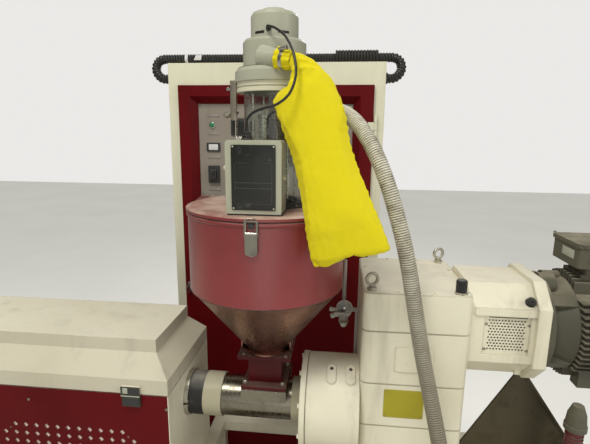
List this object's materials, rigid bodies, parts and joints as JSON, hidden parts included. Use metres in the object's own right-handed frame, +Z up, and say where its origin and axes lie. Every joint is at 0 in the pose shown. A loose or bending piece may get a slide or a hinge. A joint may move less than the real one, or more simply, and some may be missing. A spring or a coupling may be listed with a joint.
{
  "type": "plastic extruder",
  "caption": "Single-screw plastic extruder with lidded barrel stand, hopper with vacuum loader and dust bag, gearbox, finned motor and a control cabinet behind.",
  "frame": {"origin": "middle of the machine's footprint at floor level, cords left out", "axes": "+X along the barrel from the die to the motor, +Y from the operator's side to the cabinet, +Z up"},
  "size_m": [3.18, 1.5275, 2.2823],
  "materials": {
    "cream_paint": "satin cast and sheet enamel, dusty on level faces",
    "red_paint": "semi-gloss dark red enamel",
    "dark_grey_paint": "satin dark blue-grey enamel",
    "light_grey_paint": "satin light grey enamel",
    "sage_paint": "satin pale green-grey enamel",
    "machined_steel": "turned and ground steel",
    "stainless": "polished stainless steel",
    "heater_aluminium": "cast aluminium with cooling fins",
    "clear_glass": "clear tube",
    "white_plastic": "white moulded plastic",
    "black_plastic": "black moulded plastic",
    "black_rubber": "black rubber",
    "grey_hose": "ribbed translucent grey plastic hose",
    "yellow_fabric": "woven filter cloth",
    "yellow_paint": "pale yellow enamel"
  },
  "bodies": {
    "machine": {"base_frame": "cream_paint", "base_skirts": "red_paint", "stand_frame": "cream_paint", "stand_panels": "red_paint", "stand_end_walls": "cream_paint", "cover_hinges": "stainless", "cover_latches": "stainless", "barrel": "machined_steel", "screw": "machined_steel", "screw_flight": "machined_steel", "die_flange": "machined_steel", "barrel_heaters": "heater_aluminium", "zone_blowers": "dark_grey_paint", "barrel_clamp": "machined_steel", "seal_ring": "black_rubber", "jacket_ring": "yellow_paint", "bearing_housing": "cream_paint", "gearbox_lower": "cream_paint", "gearbox_middle": "cream_paint", "gearbox_upper": "cream_paint", "gearbox_top": "cream_paint", "gearbox_fittings": "dark_grey_paint", "lantern": "cream_paint", "lantern_guards": "stainless", "shaft_coupling": "machined_steel", "motor_shield": "dark_grey_paint", "motor_frame": "dark_grey_paint", "motor_cowl": "dark_grey_paint", "terminal_box": "dark_grey_paint", "motor_support": "light_grey_paint", "motor_conduit": "black_plastic", "feed_throat": "red_paint", "hopper_cone": "red_paint", "hopper_body": "red_paint", "hopper_lid": "red_paint", "hopper_latches": "stainless", "water_valve": "light_grey_paint", "loader_base": "dark_grey_paint", "loader_vessel": "clear_glass", "loader_ring": "white_plastic", "loader_hood": "sage_paint", "loader_cap": "sage_paint", "cap_gland": "black_plastic", "loader_latches": "stainless", "loader_inlet": "stainless", "dust_bag": "yellow_fabric", "control_box": "cream_paint", "power_cord": "black_plastic", "suction_hose": "grey_hose", "suction_lance": "stainless", "cabinet_shell": "cream_paint", "cabinet_plinth": "dark_grey_paint", "cabinet_hinges": "black_plastic", "cabinet_conduit": "black_plastic", "cable_duct": "dark_grey_paint"},
    "cover": {"barrel_cover": "cream_paint", "cover_hinge_leaves": "stainless"},
    "door": {"cabinet_door": "red_paint", "instrument_panel": "light_grey_paint", "door_hinge_leaves": "black_plastic"}
  },
  "joints": [
    {"name": "cover_hinge", "type": "hinge", "parent": "machine", "child": "cover", "pos_m": [-0.81, -0.182, 1.107], "axis": [-1, 0, 0], "range_deg": [0, 70]},
    {"name": "cabinet_door_hinge", "type": "hinge", "parent": "machine", "child": "door", "pos_m": [0.55, 0.27, 1.176], "axis": [0, 0, 1], "range_deg": [0, 20]}
  ]
}
